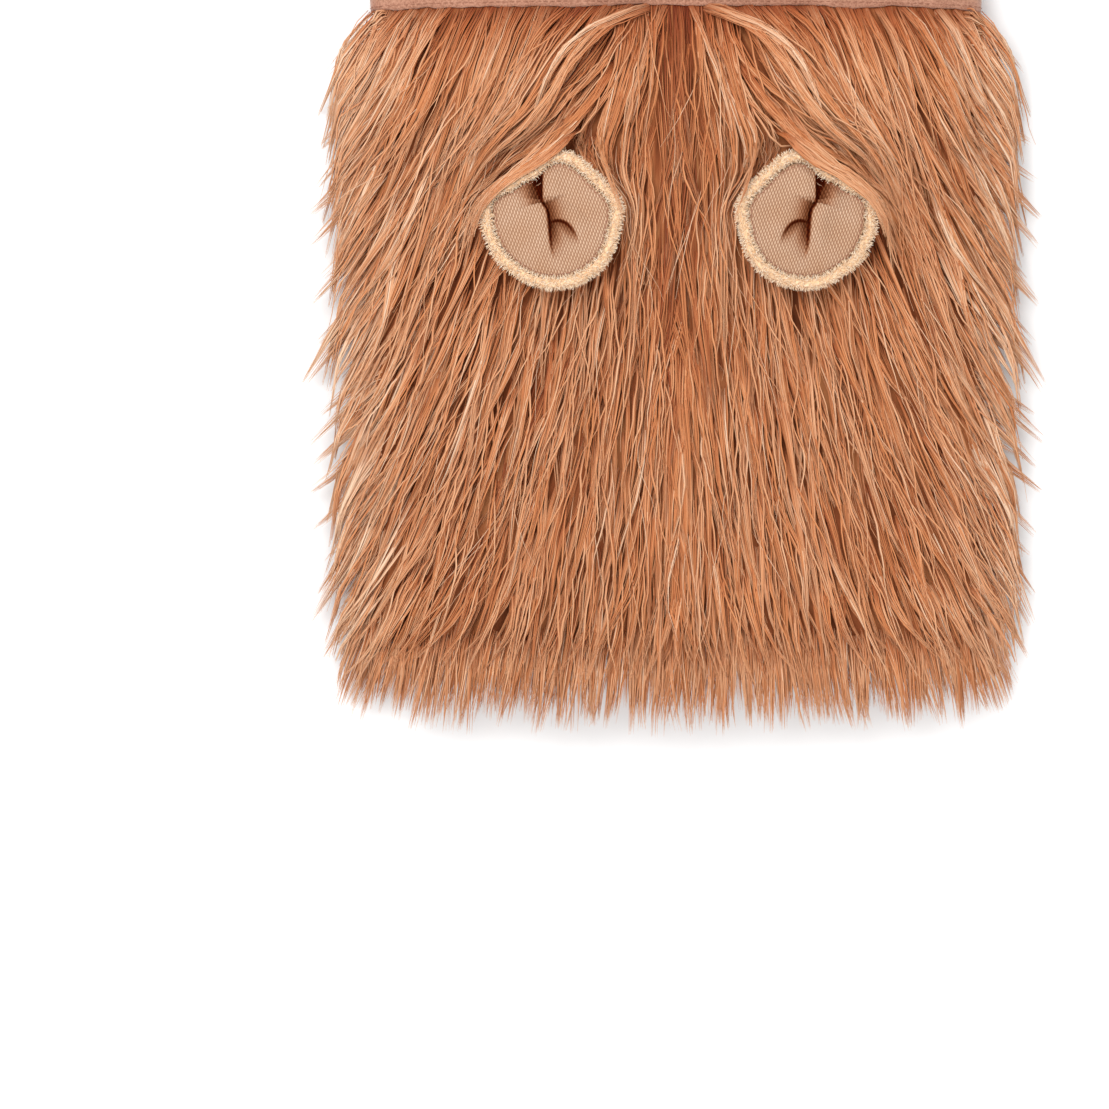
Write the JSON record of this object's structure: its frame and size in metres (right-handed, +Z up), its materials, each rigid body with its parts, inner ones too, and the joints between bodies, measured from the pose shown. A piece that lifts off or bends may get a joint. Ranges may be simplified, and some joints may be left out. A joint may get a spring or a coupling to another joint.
{
  "type": "pet lion mane",
  "caption": "Wearable lion mane for a dog: a soft tube of long false fur with a cloth neck band and two round ears with knitted linings, lying flat.",
  "frame": {"origin": "middle of the mane's lowest level, where the pressed pile rests", "axes": "+Z up, out of the front of the mane as it lies; +Y along the tube from the hem to the collar; +X across, towards the ear at the right when seen from above with the collar up"},
  "size_m": [0.381, 0.3901, 0.0727],
  "materials": {
    "fur": "long soft pile, light brown",
    "backing": "plain knitted ground cloth",
    "band_fabric": "matte brushed cloth",
    "knit": "fine rib knit",
    "plush": "short cream plush"
  },
  "bodies": {
    "root": {"neck_band": "band_fabric", "mane_backing": "backing", "mane_fur_front": "fur", "mane_fur_back": "fur", "ear_left_back": "plush", "ear_left_lining": "knit", "ear_right_back": "plush", "ear_right_lining": "knit"}
  },
  "joints": []
}
